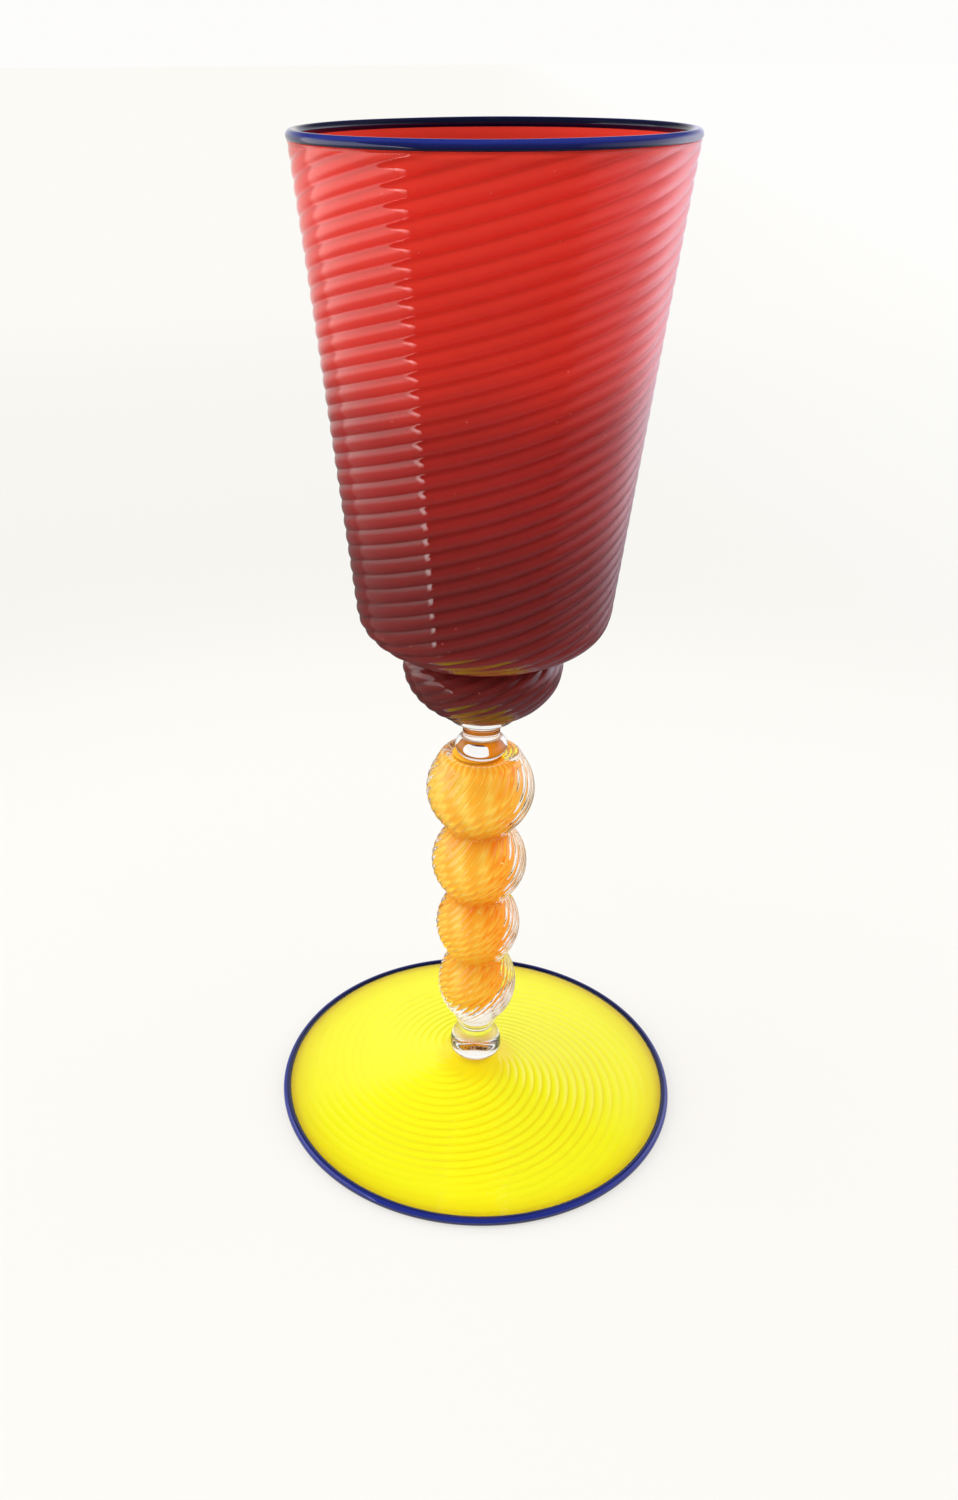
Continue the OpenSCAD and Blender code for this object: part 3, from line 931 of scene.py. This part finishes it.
# The room that reflections show, in degrees to the right of the camera and above the level of the cup, and in
# brightness where 1 is white paper. It is dark behind the camera and lit on both sides. The left side ends in
# a bright edge, which curves away from the camera above and below EDGE_LEVEL.
ROOM_R, ROOM_TOP, ROOM_EYE = 0.36, 1.0, 0.185
EDGE_AT, EDGE_WIDTH, EDGE_SHARP, EDGE_FARTHEST = -45, 4, 0.3, -75
EDGE_LEVEL, EDGE_CURVE, EDGE_REACH = -27, 9, 26
EDGE_GLOW, EDGE_GLOW_LEVEL, EDGE_GLOW_REACH = 6, -10, 14
LEFT_BY_LEVEL = [(-72, 0.15), (-43, 0.24), (-27, 0.36), (-20, 0.5), (-14, 1.2), (-9, 1.8), (15, 1.9),
                 (30, 0.2), (70, 0.1)]
LEFT_BY_AZIMUTH = [(-180, 0.5), (-124, 0.4), (-118, 1.0)]
FRONT_BY_LEVEL = [(-46, 0.25), (-38, 0.08)]
RIGHT_BY_LEVEL = [(-60, 0.05), (-43, 0.08), (-29, 0.26), (-17, 0.8), (-12, 1.1), (15, 1.1), (30, 0.12),
                  (70, 0.08)]
RIGHT_BY_AZIMUTH = [(44, 0.1), (48, 0.25), (61, 0.5), (80, 0.9), (97, 1.3), (106, 1.75), (120, 2.0),
                    (150, 0.9), (180, 0.8)]
LEFT_TINT, RIGHT_TINT = (1.0, 0.985, 0.96), (1.0, 0.99, 1.14)
# Where the lit right side begins, and where the left edge's curve ends on the left
RIGHT_FROM, BEND_FROM = 44, -120
# Lowest level painted, the level below which the last one lies, and the step between two
ROOM_LEVELS = (-72, 90, 2)


def along(pairs, value):
    """The second numbers of the pairs, read off at a value of the first."""
    return np.interp(value, [p[0] for p in pairs], [p[1] for p in pairs])


def edge_azimuth(level):
    """Where the lit left side ends, at a level in degrees."""
    return max(EDGE_FARTHEST, EDGE_AT - EDGE_CURVE * ((level - EDGE_LEVEL) / EDGE_REACH) ** 2)


def room_glow(azimuths, level):
    """Brightness at one level, for azimuths at which the left edge stands at EDGE_AT."""
    left = along(LEFT_BY_LEVEL, level) * along(LEFT_BY_AZIMUTH, azimuths)
    bright = EDGE_GLOW * math.exp(-((level - EDGE_GLOW_LEVEL) / EDGE_GLOW_REACH) ** 2)
    left = np.where(azimuths > EDGE_AT - EDGE_WIDTH, np.maximum(left, bright), left)
    front = along(FRONT_BY_LEVEL, level)
    right = along(RIGHT_BY_LEVEL, level) * along(RIGHT_BY_AZIMUTH, azimuths)
    seen = np.where(azimuths > EDGE_AT, np.maximum(front, right * (azimuths > RIGHT_FROM)), left)
    tint = np.where(azimuths[:, None] > 0, RIGHT_TINT, LEFT_TINT)
    return seen[:, None] * tint


def room_row(azimuths, level):
    """Points where rays from the cup at one level meet the floor, the wall or the ceiling."""
    rise, run = math.sin(math.radians(level)), math.cos(math.radians(level))
    height = ROOM_TOP - ROOM_EYE if rise > 0 else ROOM_EYE - MM
    reach = min(ROOM_R / run, height / max(abs(rise), TINY))
    a = np.radians(azimuths)
    return np.column_stack([reach * run * np.sin(a), -reach * run * np.cos(a),
                            np.full(len(a), ROOM_EYE + reach * rise)])


def room():
    """Floor, wall and ceiling with painted brightness, seen by reflections alone."""
    azimuths = np.sort(np.append(np.arange(-180, 180), EDGE_AT + EDGE_SHARP))
    bend = np.interp(azimuths, [BEND_FROM, EDGE_AT - EDGE_WIDTH, EDGE_AT + EDGE_SHARP, 0], [0, 1, 1, 0])
    levels = np.arange(*ROOM_LEVELS)
    rows = [room_row(azimuths + bend * (edge_azimuth(level) - EDGE_AT), level) for level in levels]
    glow = np.vstack([room_glow(azimuths, level) for level in levels])
    made = skin("room", rows)
    paint = made.data.attributes.new("glow", "FLOAT_COLOR", "POINT")
    paint.data.foreach_set("color", np.column_stack([glow, np.ones(len(glow))]).ravel().astype(np.float32))
    material = bpy.data.materials.new("room seen in reflections")
    material.use_nodes = True
    tree = material.node_tree
    emission = node(tree, "Emission")
    tree.links.new(node(tree, "Attribute", attribute_name="glow").outputs["Color"], emission.inputs["Color"])
    tree.links.new(emission.outputs[0], tree.nodes["Material Output"].inputs["Surface"])
    made.data.materials.append(material)
    made.visible_camera = made.visible_diffuse = made.visible_transmission = made.visible_shadow = False


world()
floor()
room()
for box_name, (box_place, box_width, box_height) in SOFTBOXES.items():
    softbox(box_name, box_place, box_width, box_height)


# Camera, where the photographer held it: close, looking down on the foot

# Size of the photograph, its focal length and the middle of its view, in its pixels
FRAME_W, FRAME_H = 958, 1500
FOCAL_PX = 1328
MIDDLE_X_PX = 419
SENSOR = 36
CLIP_START, CLIP_END = 0.01, 100
CAMERA_BACK, CAMERA_UP = 1.1813 * HEIGHT, 1.0586 * HEIGHT
YAW, PITCH, ROLL = math.radians(-3.033), math.radians(28.0), math.radians(0.31)


def camera():
    data = bpy.data.cameras.new("camera")
    data.sensor_width = SENSOR
    data.lens = FOCAL_PX / FRAME_H * SENSOR
    data.shift_x = (FRAME_W / 2 - MIDDLE_X_PX) / FRAME_H
    data.clip_start, data.clip_end = CLIP_START, CLIP_END
    made = bpy.data.objects.new("camera", data)
    bpy.context.scene.collection.objects.link(made)
    made.location = (0, -CAMERA_BACK, CAMERA_UP)
    ahead = Vector((math.sin(YAW) * math.cos(PITCH), math.cos(YAW) * math.cos(PITCH), -math.sin(PITCH)))
    right = Vector((math.cos(YAW), -math.sin(YAW), 0))
    down = ahead.cross(right)
    across = right * math.cos(ROLL) + down * math.sin(ROLL)
    below = down * math.cos(ROLL) - right * math.sin(ROLL)
    made.rotation_mode = "QUATERNION"
    made.rotation_quaternion = Matrix((across, -below, -ahead)).transposed().to_quaternion()
    bpy.context.scene.camera = made


camera()
bpy.context.scene.view_settings.view_transform = "Standard"
# Blurred reflections lose light between a coloured layer and the clear glass over it
bpy.context.scene.cycles.blur_glossy = 0
